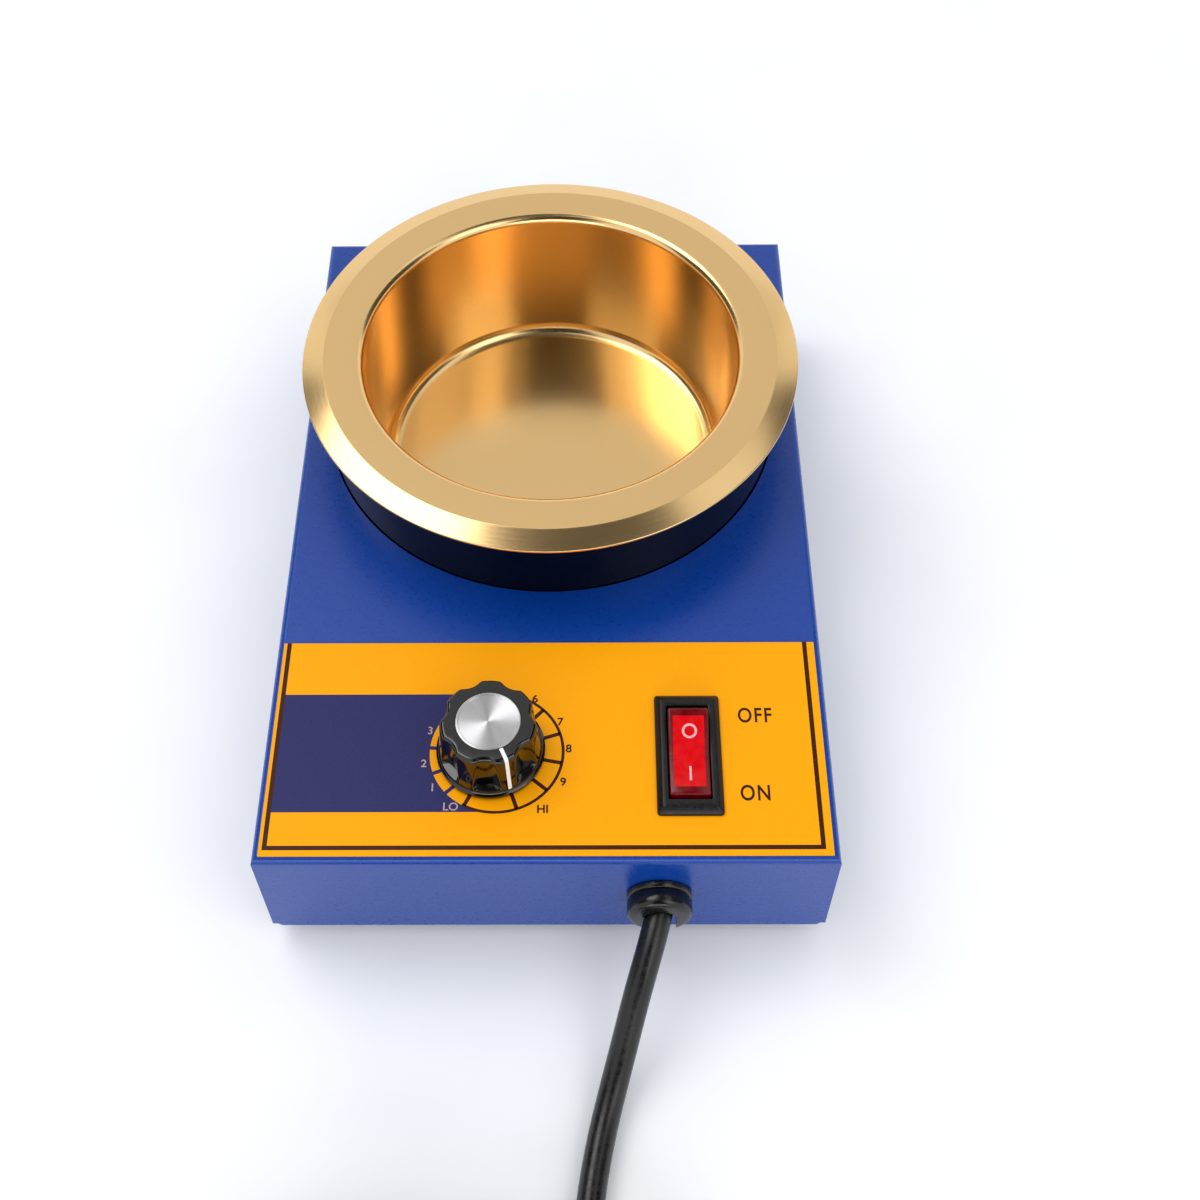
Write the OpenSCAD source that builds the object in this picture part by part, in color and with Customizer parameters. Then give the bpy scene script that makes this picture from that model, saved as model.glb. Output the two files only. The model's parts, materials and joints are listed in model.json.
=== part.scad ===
// Bench-top solder pot: a folded sheet-metal case with a heated, flanged crucible
// at the back and a control panel with a dial and a rocker switch at the front.
// Millimetres, +Z up, +Y to the back. The origin is on the bench, under the centre of the case.

/* [Case] */
// Distance from the heater housing to the sides of the case
side_margin = 6.75; // [6.5:0.05:12]
// Distance from the heater housing to the back of the case
back_margin = 5.45; // [5:0.05:12]
// Distance from the heater housing to the panel sheet
panel_gap = 15.95; // [12:0.05:30]
// Height of the folded cover
cover_h = 35; // [34:0.5:42]
// Thickness of the cover's sheet
sheet_t = 1; // [0.8:0.1:1.4]
// Outside radius of the cover's folds
fold_r = 1.8; // [1.6:0.1:2.5]
// Width of the returns folded in under the cover's long sides
return_w = 8; // [7:0.5:9]
// Thickness of the base plate
base_t = 1; // [0.8:0.1:1.5]
// Corner radius of the base plate
base_corner_r = 2.5; // [2:0.5:5]
// Distance of the base screws from the sides
base_screw_inset = 5; // [4.5:0.1:5.5]
// Distance of the first base screws from the front
base_screw_front = 40; // [38:1:46]
// Distance of the last base screws from the back
base_screw_back = 32; // [28:1:40]
// Length of the base screws
base_screw_l = 5; // [4:0.5:6]

/* [Feet] */
// Height of each rubber foot
foot_h = 6; // [5:0.5:10]
// Diameter of a foot where it meets the base
foot_d = 15; // [12:0.5:16]
// Diameter of a foot on the bench
foot_toe_d = 12.5; // [11:0.5:14]
// Distance of the feet from the sides of the case
foot_inset_x = 14; // [13:0.5:16]
// Distance of the feet from the front and back of the case
foot_inset_y = 14; // [12:0.5:16]

/* [Crucible] */
// Diameter of the mouth, between the walls
mouth_d = 100; // [94:0.5:102]
// Depth from the flange to the floor
crucible_depth = 42.7; // [38:0.1:43]
// Sheet thickness of the crucible
crucible_t = 0.8; // [0.6:0.1:1]
// Lean of the wall, in degrees
wall_lean = 4.8; // [3:0.1:6]
// Bend radius of the lip
lip_r = 2.5; // [1.5:0.1:3]
// Bend radius between wall and floor
floor_r = 3.5; // [2.5:0.1:5]
// Width of the flat part of the flange, with the lip
flange_flat_w = 10.4; // [10:0.1:11]
// Width of the flange's sloping edge
flange_slope_w = 5.7; // [4:0.1:6]
// Drop of the flange's sloping edge
flange_drop = 1.7; // [1:0.1:3]
// Height of the flange above the panel
flange_rise = 25.6; // [24:0.1:30]

/* [Heater] */
// Distance from the crucible's mouth to the outside of the black housing
housing_space = 11.25; // [11:0.05:12]
// Sheet thickness of the housing
housing_t = 1; // [0.8:0.1:1.2]
// Width of the housing's turned-in rim
housing_rim_w = 5.2; // [4:0.1:6]
// Height of the spacers under the housing
spacer_h = 3; // [2.5:0.5:5]
// Distance of the spacers from the outside of the housing
spacer_inset = 21.2; // [17:0.1:26]
// Thickness of the band heater
band_t = 2.4; // [2:0.1:2.6]
// Height of the band heater
band_h = 36; // [28:0.5:38]
// Gap between the band heater's ends
band_gap = 4; // [3:0.5:6]
// Height of the band heater's clamping lugs
lug_h = 26; // [18:1:27]
// Thickness of the insulation sleeve
sleeve_t = 4; // [3:0.1:4.4]

/* [Panel] */
// Distance of the yellow panel sheet from the sides of the case
overlay_side = 1.7; // [1:0.1:4]
// Distance of the panel sheet from the front of the case
overlay_front = 1.3; // [1:0.1:4]
// Length of the panel sheet, front to back
overlay_l = 57.8; // [52:0.1:60]
// Thickness of the panel sheet
overlay_t = 0.3; // [0.2:0.05:0.5]

/* [Dial] */
// Distance of the dial from the left side
knob_left = 54.6; // [50:0.1:56]
// Distance of the dial from the front
knob_front = 28.3; // [26:0.1:30]
// Diameter of the knob's skirt
knob_skirt_d = 26; // [25:0.1:28]
// Diameter over the knob's lobes at the top
knob_top_d = 22.6; // [21:0.1:24]
// Height of the knob
knob_h = 14.2; // [13.5:0.1:18]
// Number of lobes round the knob
knob_lobes = 7; // [6:1:9]
// Depth of the flutes at the top of the knob
flute_depth = 1; // [0.6:0.1:1.2]
// Radius of each flute
flute_r = 4.8; // [3.5:0.1:5.5]
// Diameter of the metal disc in the knob's top
inlay_d = 15.4; // [12:0.1:16]
// Direction of the pointer at its upper stop, in degrees from +X
pointer_angle = -66; // [-80:1:-50]
// Width of the pointer's line
pointer_w = 0.9; // [0.6:0.1:1.5]
// Gap between the knob and the panel
knob_gap = 0.5; // [0.4:0.1:1]
// Diameter of the control shaft
shaft_d = 6; // [5.8:0.1:6.4]
// Diameter of the potentiometer's threaded bush
bush_d = 7; // [6.9:0.1:7.4]
// Diameter of the potentiometer's body
pot_body_d = 16.5; // [15:0.1:20]
// Height of the potentiometer's body
pot_body_h = 9.4; // [8.5:0.1:10]

/* [Switch] */
// Distance of the switch from the right side
switch_right = 34.2; // [30:0.1:36]
// Distance of the switch from the front
switch_front = 27.25; // [25.5:0.05:30]
// Width of the bezel
bezel_w = 15.7; // [15.5:0.1:17]
// Length of the bezel
bezel_l = 32; // [31.4:0.1:34]
// Height of the bezel
bezel_h = 2; // [1.8:0.1:2.4]
// Chamfer round the bezel
bezel_chamfer = 1.3; // [0.6:0.1:1.4]
// Width of the rocker's opening
well_w = 10.1; // [9.6:0.1:10.3]
// Length of the rocker's opening
well_l = 25; // [24.8:0.1:25.6]
// Width of the switch body behind the panel
switch_body_w = 13.2; // [13:0.1:13.6]
// Length of the switch body behind the panel
switch_body_l = 28.4; // [28.2:0.1:28.8]
// Depth of the switch body behind the panel
switch_depth = 17; // [15:0.5:18]
// Half of the rocker's travel, in degrees
rocker_tilt = 9; // [6:0.5:9.5]
// Length of the rocker's top
rocker_l = 21.2; // [20:0.1:21.4]
// Height of the rocker's ends above its pivot
rocker_rise = 6; // [5.6:0.1:6.2]
// Depth of the rocker's pivot below the bezel's face
pivot_depth = 3.9; // [3.8:0.1:4.2]
// Diameter of the rocker's pivot pins
pivot_d = 2; // [1.6:0.1:2.4]

/* [Circuit board] */
// Width of the circuit board
board_w = 55; // [52:1:56]
// Length of the circuit board
board_l = 48; // [46:1:50]
// Thickness of the circuit board
board_t = 1.6; // [1:0.1:2]
// Distance of the board's screws from its edges
board_inset = 4; // [3.5:0.1:5]
// Distance of the dial from the board's left edge
board_left = 33; // [31:0.5:34]
// Distance of the dial from the board's front edge
board_front = 22; // [20:0.5:23]
// Distance of the earth screw from the right side
earth_right = 18; // [16:0.5:20]
// Distance of the earth screw from the front
earth_front = 42; // [36:0.5:50]

/* [Cord] */
// Diameter of the power cord
cord_d = 6.5; // [6.3:0.1:6.7]
// Distance of the strain relief from the right side
relief_right = 41.4; // [39:0.1:43]
// Diameter of the strain relief's head
relief_head_d = 15.5; // [14:0.1:16]
// Depth of the strain relief's head
relief_head_t = 6.5; // [6:0.1:7]
// Diameter of the strain relief's neck in the case wall
relief_neck_d = 12.2; // [11:0.1:12.6]
// Width of the slot that the cord drops through
relief_slot_w = 8; // [7.6:0.1:8.4]

/* [Hidden] */
$fn = 72;
// Small overlap used where a cut passes through a face
through = 1;

// Clearances between fitting pieces
hole_clear = 0.2;      // a screw in its hole, on the radius
thread_clear = 0.05;   // a nut on its screw, on the radius
running_clear = 0.05;  // a shaft in its bearing, on the radius
sheet_clear = 0.3;     // a piece that drops into sheet metal, each side
well_clear = 0.2;      // the rocker beside its well, each side

// Levels
z_base = foot_h;                      // underside of the base plate
z_inside = z_base + base_t;           // upper face of the base plate
z_panel = z_inside + cover_h;         // upper face of the cover
z_under = z_panel - sheet_t;          // underside of the cover's top
z_flange = z_panel + flange_rise;     // top of the crucible's flange
z_floor = z_flange - crucible_depth;  // the crucible's floor, inside
z_can = z_inside + spacer_h;          // underside of the heater housing
z_can_top = z_flange - crucible_t;    // its rim, which carries the flange
z_overlay = z_panel + overlay_t;      // face of the panel sheet
z_knob = z_overlay + knob_gap;        // underside of the knob
z_knob_top = z_knob + knob_h;
z_bezel = z_overlay + bezel_h;        // face of the switch bezel
z_pivot = z_bezel - pivot_depth;      // axis of the rocker
z_board = z_under - pot_body_h - board_t;

// Plan, from the crucible outwards
housing_d = mouth_d + 2 * housing_space;
housing_rim_d = housing_d - 2 * housing_rim_w;
flange_flat_d = mouth_d + 2 * flange_flat_w;
flange_d = flange_flat_d + 2 * flange_slope_w;
spacer_circle_r = housing_d / 2 - spacer_inset;
case_w = housing_d + 2 * side_margin;
case_l = overlay_front + overlay_l + panel_gap + housing_d + back_margin;
front_y = -case_l / 2;
back_y = case_l / 2;
crucible_y = back_y - back_margin - housing_d / 2;
knob_x = knob_left - case_w / 2;
knob_y = front_y + knob_front;
switch_x = case_w / 2 - switch_right;
switch_y = front_y + switch_front;
relief_x = case_w / 2 - relief_right;

// Screw sizes: shank radius, head radius, head height, nut across flats, nut height
m3 = [1.5, 2.8, 2.2, 5.5, 2.4];
m4 = [2, 4, 2.6, 7, 3.2];

// Cord: radius, turn radii of the coil's two lanes, and the coil's place
cord_r = cord_d / 2;
tie_t = 0.8;
coil_x = -32;
coil_y = -218;
coil_in_r = 30.5;
coil_out_r = 43.5;
coil_h = 19.5;

// Route of the cord from the strain relief to the coil, and from the coil to the plug
cord_route = [[26.6, -103.5, 24.5], [26.6, -106, 24.5], [26, -110, 24.3], [24.4, -114.5, 23.3],
    [22.5, -119, 21.2], [20.9, -124, 17.7], [19.3, -129, 13.4], [17.7, -134, 9.1],
    [16.1, -139, 5.8], [14.5, -144, 3.8], [12.9, -150, 3.3], [11.4, -157, 3.3],
    [10.2, -164, 3.3], [9.2, -172, 3.4], [8.6, -180, 3.7], [8.3, -190, 4], [8.25, -201.5, 4.05]];
tail_route = [[-12, -177.75, 10.55], [-4, -177.75, 10.6], [4, -177.75, 10.7], [12, -177.75, 10.5],
    [20.8, -178.9, 9.8], [29, -182.3, 8], [36, -187.7, 5.7], [41.4, -194.8, 3.9],
    [44.8, -202.9, 3.3], [46, -211.8, 3.3], [46, -218, 3.5], [46, -226, 4.9], [46, -234, 7.8],
    [46, -241, 10.2], [46, -248, 11], [46, -252, 11]];
plug_x = 46;
plug_entry_y = -252;

// ---------- Shared forms ----------

// A rectangle with round corners, centred
module rounded_rect(w, l, r) {
    square([w - 2 * r, l], center = true);
    square([w, l - 2 * r], center = true);
    for (x = [-1, 1], y = [-1, 1]) translate([x * (w / 2 - r), y * (l / 2 - r)]) circle(r);
}

// A rectangle standing on the X axis, with its two upper corners rounded
module arch(w, h, r) {
    translate([-w / 2, 0]) square([w, h - r]);
    translate([-w / 2 + r, 0]) square([w - 2 * r, h]);
    for (x = [-1, 1]) translate([x * (w / 2 - r), h - r]) circle(r);
}

// A block whose four upper edges are folded over
module folded_block(w, l, h, r) {
    intersection() {
        rotate([90, 0, 0]) linear_extrude(l, center = true) arch(w, h, r);
        rotate([90, 0, 90]) linear_extrude(w, center = true) arch(l, h, r);
    }
}

// A block whose sides slope in over the last part of its height
module chamfered_block(w, l, h, c) {
    intersection() {
        rotate([90, 0, 0]) linear_extrude(l, center = true)
            polygon([[-w / 2, 0], [w / 2, 0], [w / 2, h - c], [w / 2 - c, h], [c - w / 2, h], [-w / 2, h - c]]);
        rotate([90, 0, 90]) linear_extrude(w, center = true)
            polygon([[-l / 2, 0], [l / 2, 0], [l / 2, h - c], [l / 2 - c, h], [c - l / 2, h], [-l / 2, h - c]]);
    }
}

// A long hole with round ends, along Y
module slot(w, l) {
    square([w, l - w], center = true);
    for (y = [-1, 1]) translate([0, y * (l - w) / 2]) circle(w / 2);
}

// A quarter or less of a bent sheet, in section: an arc of thickness t whose outside radius is r
module bend(r, t, from, to) {
    reach = 3 * r;
    intersection() {
        difference() {
            circle(r);
            circle(r - t);
        }
        polygon([[0, 0], reach * [cos(from), sin(from)], 2 * reach * [cos((from + to) / 2), sin((from + to) / 2)],
            reach * [cos(to), sin(to)]]);
    }
}

// A pan-head screw pointing up, with the underside of its head at z = 0
module screw(m, length) {
    cylinder(r = m[0], h = length);
    translate([0, 0, -m[2]]) cylinder(r1 = m[1] - 0.6, r2 = m[1], h = 0.8);
    translate([0, 0, 0.8 - m[2]]) cylinder(r = m[1], h = m[2] - 0.8);
}

// A hexagon nut standing on z = 0
module nut(m) {
    difference() {
        cylinder(d = m[3] / cos(30), h = m[4], $fn = 6);
        translate([0, 0, -through]) cylinder(r = m[0] + thread_clear, h = m[4] + 2 * through);
    }
}

// A screw hole through the sheet that lies at z
module screw_hole(m, z, t) {
    translate([0, 0, z - through]) cylinder(r = m[0] + hole_clear, h = t + 2 * through);
}

// A tube of one radius along a route
function direction(p, i) =
    let (a = p[max(i - 1, 0)], b = p[min(i + 1, len(p) - 1)]) (b - a) / norm(b - a);
function ring(p, i, r, sides) =
    let (t = direction(p, i), s = cross(t, [0, 0, 1]) / norm(cross(t, [0, 0, 1])), u = cross(s, t))
    [for (k = [0:sides - 1]) p[i] + r * (cos(360 * k / sides) * s + sin(360 * k / sides) * u)];
module tube(route, r, sides) {
    last = (len(route) - 1) * sides;
    polyhedron(
        points = [for (i = [0:len(route) - 1]) each ring(route, i, r, sides)],
        faces = concat(
            [[for (k = [0:sides - 1]) sides - 1 - k]],
            [[for (k = [0:sides - 1]) last + k]],
            [for (i = [0:len(route) - 2], k = [0:sides - 1])
                let (a = i * sides + k, b = i * sides + (k + 1) % sides) [a, b, a + sides]],
            [for (i = [0:len(route) - 2], k = [0:sides - 1])
                let (a = i * sides + k, b = i * sides + (k + 1) % sides) [b, b + sides, a + sides]]));
}

// ---------- Places of fasteners ----------

foot_x = case_w / 2 - foot_inset_x;
foot_y = case_l / 2 - foot_inset_y;
module at_feet() {
    for (x = [-1, 1], y = [-1, 1]) translate([x * foot_x, y * foot_y]) children();
}

base_screw_x = case_w / 2 - base_screw_inset;
base_screw_ys = [front_y + base_screw_front, (base_screw_front - base_screw_back) / 2, back_y - base_screw_back];
module at_base_screws() {
    for (x = [-1, 1], y = base_screw_ys) translate([x * base_screw_x, y]) children();
}

module at_spacers() {
    for (a = [90:120:330])
        translate([spacer_circle_r * cos(a), crucible_y + spacer_circle_r * sin(a)]) children();
}

board_x0 = knob_x - board_left;
board_y0 = knob_y - board_front;
module at_board_screws() {
    for (x = [board_inset, board_w - board_inset], y = [board_inset, board_l - board_inset])
        translate([board_x0 + x, board_y0 + y]) children();
}

earth_x = case_w / 2 - earth_right;
earth_y = front_y + earth_front;

// ---------- Case ----------

relief_z = z_inside + cover_h / 2;
switch_cut_w = switch_body_w + sheet_clear;
switch_cut_l = switch_body_l + sheet_clear;

module cover() {
    color("royalblue") difference() {
        union() {
            difference() {
                translate([0, 0, z_inside]) folded_block(case_w, case_l, cover_h, fold_r);
                translate([0, 0, z_inside - through])
                    folded_block(case_w - 2 * sheet_t, case_l - 2 * sheet_t,
                        cover_h - sheet_t + through, fold_r - sheet_t);
            }
            for (x = [-1, 1])
                translate([x * (case_w - return_w - sheet_t) / 2, 0, z_inside + sheet_t / 2])
                    cube([return_w + sheet_t, case_l - 2 * foot_inset_y, sheet_t], center = true);
        }
        translate([0, crucible_y, z_under - through])
            cylinder(d = housing_d + 2 * sheet_clear, h = sheet_t + 2 * through);
        translate([knob_x, knob_y, z_under - through])
            cylinder(d = bush_d + 2 * hole_clear, h = sheet_t + 2 * through);
        translate([switch_x, switch_y, z_under + sheet_t / 2])
            cube([switch_cut_w, switch_cut_l, sheet_t + 2 * through], center = true);
        translate([relief_x, front_y + sheet_t + through, relief_z]) rotate([90, 0, 0])
            cylinder(d = relief_neck_d + 2 * hole_clear, h = sheet_t + 2 * through);
        at_base_screws() screw_hole(m3, z_inside, sheet_t);
    }
}

vent_w = 3;
vent_l = 26;
vent_pitch = 8;
module vents(columns) {
    for (i = [0:columns - 1]) translate([(i - (columns - 1) / 2) * vent_pitch, 0]) slot(vent_w, vent_l);
}

module base_plate() {
    color("dimgray") difference() {
        translate([0, 0, z_base]) linear_extrude(base_t) difference() {
            rounded_rect(case_w, case_l, base_corner_r);
            translate([0, crucible_y]) vents(5);
            translate([board_x0 + board_w / 2, board_y0 + board_l / 2]) vents(5);
        }
        at_feet() screw_hole(m3, z_base, base_t);
        at_base_screws() screw_hole(m3, z_base, base_t);
        at_board_screws() screw_hole(m3, z_base, base_t);
        at_spacers() screw_hole(m4, z_base, base_t);
        translate([earth_x, earth_y]) screw_hole(m4, z_base, base_t);
    }
}

module base_screws() {
    color("silver") at_base_screws() translate([0, 0, z_base]) screw(m3, base_screw_l);
}

// Depth of the pocket in a foot's toe that hides its screw's head
foot_pocket = foot_h - 3;
module foot(x, y) {
    color("black") translate([x * foot_x, y * foot_y]) difference() {
        cylinder(d1 = foot_toe_d, d2 = foot_d, h = foot_h);
        translate([0, 0, -through]) cylinder(r = m3[1] + 2 * hole_clear, h = foot_pocket + through);
        cylinder(r = m3[0] + hole_clear, h = foot_h + through);
    }
}
module foot_front_left() foot(-1, -1);
module foot_front_right() foot(1, -1);
module foot_rear_left() foot(-1, 1);
module foot_rear_right() foot(1, 1);

module foot_screws() {
    color("silver") at_feet() translate([0, 0, foot_pocket]) screw(m3, z_inside + m3[4] + 1 - foot_pocket);
}
module foot_nuts() {
    color("silver") at_feet() translate([0, 0, z_inside]) nut(m3);
}

// ---------- Heater ----------

housing_r = housing_d / 2;
rim_bend = 1.5;   // outside bend radius of the housing's rim
can_bend = 2;     // outside bend radius at the housing's floor
lead_hole_z = z_can + 9;
lead_hole_d = 9;

module heater_housing() {
    h = z_can_top - z_can;
    color([0.02, 0.02, 0.03]) translate([0, crucible_y, z_can]) difference() {
        rotate_extrude() {
            translate([housing_r - housing_t, can_bend]) square([housing_t, h - can_bend - rim_bend]);
            translate([housing_r - can_bend, can_bend]) bend(can_bend, housing_t, -90, 0);
            square([housing_r - can_bend, housing_t]);
            translate([housing_r - rim_bend, h - rim_bend]) bend(rim_bend, housing_t, 0, 90);
            translate([housing_rim_d / 2, h - housing_t])
                square([housing_r - rim_bend - housing_rim_d / 2, housing_t]);
        }
        for (a = [90:120:330])
            translate([spacer_circle_r * cos(a), spacer_circle_r * sin(a), -through])
                cylinder(r = m4[0] + hole_clear, h = housing_t + 2 * through);
        translate([0, through - housing_r, lead_hole_z - z_can]) rotate([90, 0, 0])
            translate([0, 0, -3 * through]) cylinder(d = lead_hole_d, h = 6 * through);
    }
}

module housing_spacers() {
    color("silver") at_spacers() translate([0, 0, z_inside]) difference() {
        cylinder(d = 10, h = spacer_h);
        translate([0, 0, -through]) cylinder(r = m4[0] + hole_clear, h = spacer_h + 2 * through);
    }
}
module housing_screws() {
    color("silver") at_spacers() translate([0, 0, z_base]) screw(m4, base_t + spacer_h + housing_t + m4[4] + 1);
}
module housing_nuts() {
    color("silver") at_spacers() translate([0, 0, z_can + housing_t]) nut(m4);
}

z_disc = z_can + housing_t;                 // underside of the insulation disc
z_heater = z_floor - crucible_t - 2;        // its upper face, where the heater stands
disc_r = housing_r - can_bend - sheet_clear;
module insulation_disc() {
    color("ivory") difference() {
        translate([0, crucible_y, z_disc]) cylinder(r = disc_r, h = z_heater - z_disc);
        at_spacers() translate([0, 0, z_disc - through])
            cylinder(r = m4[3] / 2 + 1.5, h = z_heater - z_disc + 2 * through);
        translate([0, crucible_y - disc_r, z_heater])
            cube([16, 16, 2 * (z_heater - lead_hole_z + lead_hole_d / 2)], center = true);
    }
}

sleeve_r = housing_r - housing_t - sheet_clear;
lug_gap_w = 26;
module insulation_sleeve() {
    h = z_can_top - housing_t - sheet_clear - z_heater;
    color("ivory") translate([0, crucible_y, z_heater]) difference() {
        cylinder(r = sleeve_r, h = h);
        translate([0, 0, -through]) cylinder(r = sleeve_r - sleeve_t, h = h + 2 * through);
        translate([-lug_gap_w / 2, -2 * sleeve_r, -through]) cube([lug_gap_w, 2 * sleeve_r, h + 2 * through]);
    }
}

band_r = mouth_d / 2 + crucible_t + 0.9;    // inside of the band heater
lug_t = 2;
clamp_r = band_r + band_t + m3[1] + 0.2;    // radius at which the clamp screw lies
lug_reach = clamp_r + m3[1] - 0.2;
clamp_z = z_heater + band_h / 2;
clamp_y = crucible_y - clamp_r;
lug_face = band_gap / 2 + lug_t;
module band_heater() {
    color("lightsteelblue") translate([0, crucible_y, 0]) difference() {
        union() {
            difference() {
                translate([0, 0, z_heater]) cylinder(r = band_r + band_t, h = band_h);
                translate([-band_gap / 2, -2 * band_r, z_heater - through])
                    cube([band_gap, 2 * band_r, band_h + 2 * through]);
            }
            for (s = [-1, 1])
                translate([s * (band_gap + lug_t) / 2, -(lug_reach + band_r) / 2, clamp_z])
                    cube([lug_t, lug_reach - band_r, lug_h], center = true);
        }
        translate([0, 0, z_heater - through]) cylinder(r = band_r, h = band_h + 2 * through);
        translate([-lug_face - through, -clamp_r, clamp_z]) rotate([0, 90, 0])
            cylinder(r = m3[0] + hole_clear, h = 2 * (lug_face + through));
    }
}

module clamp_screw() {
    color("silver") translate([-lug_face, clamp_y, clamp_z]) rotate([0, 90, 0])
        screw(m3, 2 * lug_face + m3[4] + 1);
}
module clamp_nut() {
    color("silver") translate([lug_face, clamp_y, clamp_z]) rotate([0, 90, 0]) nut(m3);
}

// Points along an arc in a section
function arc(centre, r, from, to) =
    [for (i = [0:8]) let (a = from + (to - from) * i / 8) centre + r * [cos(a), sin(a)]];

// The crucible is pressed from one sheet. Its section runs out over the visible side and back under it,
// and both bends meet the leaning wall smoothly.
module crucible() {
    lip = [mouth_d / 2 + lip_r, crucible_depth - lip_r];
    lean = wall_lean;
    foot_x = lip[0] - (lip_r + floor_r + (lip[1] - floor_r) * sin(lean)) / cos(lean);
    foot = [foot_x, floor_r];
    flat_r = flange_flat_d / 2;
    edge_r = flange_d / 2;
    slope = atan(flange_drop / (edge_r - flat_r));
    t = crucible_t;
    color([0.83, 0.66, 0.38]) translate([0, crucible_y, z_floor]) rotate_extrude() polygon(concat(
        [[0, 0]],
        arc(foot, floor_r, -90, -lean),
        arc(lip, lip_r, 180 - lean, 90),
        [[flat_r, crucible_depth], [edge_r, crucible_depth - flange_drop],
            [edge_r, crucible_depth - flange_drop - t / cos(slope)],
            [flat_r - t * tan(slope / 2), crucible_depth - t]],
        arc(lip, lip_r - t, 90, 180 - lean),
        arc(foot, floor_r + t, -lean, -90),
        [[0, -t]]));
}

// ---------- Panel ----------

module panel_overlay() {
    w = case_w - 2 * overlay_side;
    color("orange") translate([0, 0, z_panel]) linear_extrude(overlay_t) difference() {
        translate([-w / 2, front_y + overlay_front]) square([w, overlay_l]);
        translate([knob_x, knob_y]) circle(d = bush_d + 2 * hole_clear);
        translate([switch_x, switch_y]) square([switch_cut_w, switch_cut_l], center = true);
    }
}

nut_stack = 3.3;   // washer, nut and the bush's free end above the panel sheet
washer_t = 0.5;
module potentiometer() {
    color("darkgray") translate([knob_x, knob_y, 0]) difference() {
        union() {
            translate([0, 0, z_board + board_t]) cylinder(d = pot_body_d, h = pot_body_h);
            translate([0, 0, z_under]) cylinder(d = bush_d, h = sheet_t + overlay_t + nut_stack);
            translate([-6.5, -pot_body_d / 2 - 3, z_board + board_t]) cube([13, 8, 2]);
        }
        translate([0, 0, z_under - 4]) cylinder(r = shaft_d / 2 + running_clear, h = 30);
    }
}
module potentiometer_washer() {
    color("silver") translate([knob_x, knob_y, z_overlay]) difference() {
        cylinder(d = 12, h = washer_t);
        translate([0, 0, -through]) cylinder(d = bush_d + 2 * hole_clear, h = washer_t + 2 * through);
    }
}
module potentiometer_nut() {
    color("silver") translate([knob_x, knob_y, z_overlay + washer_t]) difference() {
        cylinder(d = 10 / cos(30), h = 2.2, $fn = 6);
        translate([0, 0, -through]) cylinder(d = bush_d + 2 * thread_clear, h = 2.2 + 2 * through);
    }
}

shaft_foot_gap = 0.2;
z_shaft = z_under - 4 + shaft_foot_gap;
z_shaft_top = z_knob_top - 2.5;
module control_shaft() {
    color("silver") translate([knob_x, knob_y, z_shaft]) cylinder(d = shaft_d, h = z_shaft_top - z_shaft);
}

// ---------- Knob ----------

skirt_t = 1.2;         // height of the skirt's upright edge
body_foot_d = knob_skirt_d - 1.4;
top_bevel = 0.8;
inlay_t = 0.6;
knob_recess_d = 14.4;  // clears the potentiometer's nut
knob_recess_h = nut_stack + 0.7;
pointer_depth = 0.35;

// Radius of the lobes at a height above the knob's underside
function lobe_r(z) = body_foot_d / 2 - (body_foot_d - knob_top_d) / 2 * (z - skirt_t) / (knob_h - skirt_t);

// Half of the lobes' section, inset by d
module lobe_section(d) {
    shoulder = knob_h - top_bevel;
    polygon([[0, 0], [knob_skirt_d / 2 - d, 0], [knob_skirt_d / 2 - d, skirt_t],
        [lobe_r(skirt_t) - d, skirt_t + 0.6], [lobe_r(shoulder) - d, shoulder - d],
        [lobe_r(knob_h) - top_bevel - d, knob_h - d], [0, knob_h - d]]);
}

// A radial slice of the knob's face, from radius r outwards
module pointer_blade(r) {
    rotate([0, 0, pointer_angle]) rotate([90, 0, 0]) linear_extrude(pointer_w, center = true)
        difference() {
            children();
            lobe_section(pointer_depth);
            translate([-1, -1]) square([r + 1, knob_h + 3]);
            translate([-1, -1]) square([knob_skirt_d + 2, skirt_t + 2]);
        }
}

module knob_body() {
    flute_from = knob_top_d / 2 - flute_depth + flute_r;
    color([0.06, 0.06, 0.07]) translate([knob_x, knob_y, z_knob]) difference() {
        rotate_extrude() lobe_section(0);
        for (i = [0:knob_lobes - 1])
            rotate([0, 0, pointer_angle + (i + 0.5) * 360 / knob_lobes])
                translate([flute_from, 0, skirt_t + 1.4]) cylinder(r = flute_r, h = knob_h);
        translate([0, 0, knob_h - inlay_t]) cylinder(d = inlay_d, h = inlay_t + through);
        translate([0, 0, -through]) cylinder(d = knob_recess_d, h = knob_recess_h + through);
        translate([0, 0, -through]) cylinder(r = shaft_d / 2 + thread_clear, h = z_shaft_top - z_knob + through);
        rotate([0, 0, pointer_angle + 180]) translate([0, 0, knob_h / 2 + 1.5]) rotate([0, 90, 0])
            cylinder(r = m3[0] + thread_clear, h = knob_skirt_d);
        pointer_blade(inlay_d / 2 - 0.5) square([knob_skirt_d, knob_h + 1]);
    }
}
module knob_inlay() {
    color("gainsboro") translate([knob_x, knob_y, z_knob_top - inlay_t]) cylinder(d = inlay_d, h = inlay_t);
}
module knob_pointer() {
    color("white") translate([knob_x, knob_y, z_knob]) pointer_blade(inlay_d / 2 + 0.1) lobe_section(0);
}
module knob_set_screw() {
    color("silver") translate([knob_x, knob_y, z_knob + knob_h / 2 + 1.5])
        rotate([0, 0, pointer_angle + 180]) rotate([0, 90, 0])
            translate([0, 0, shaft_d / 2]) cylinder(r = m3[0], h = 5);
}

// ---------- Switch ----------

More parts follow.
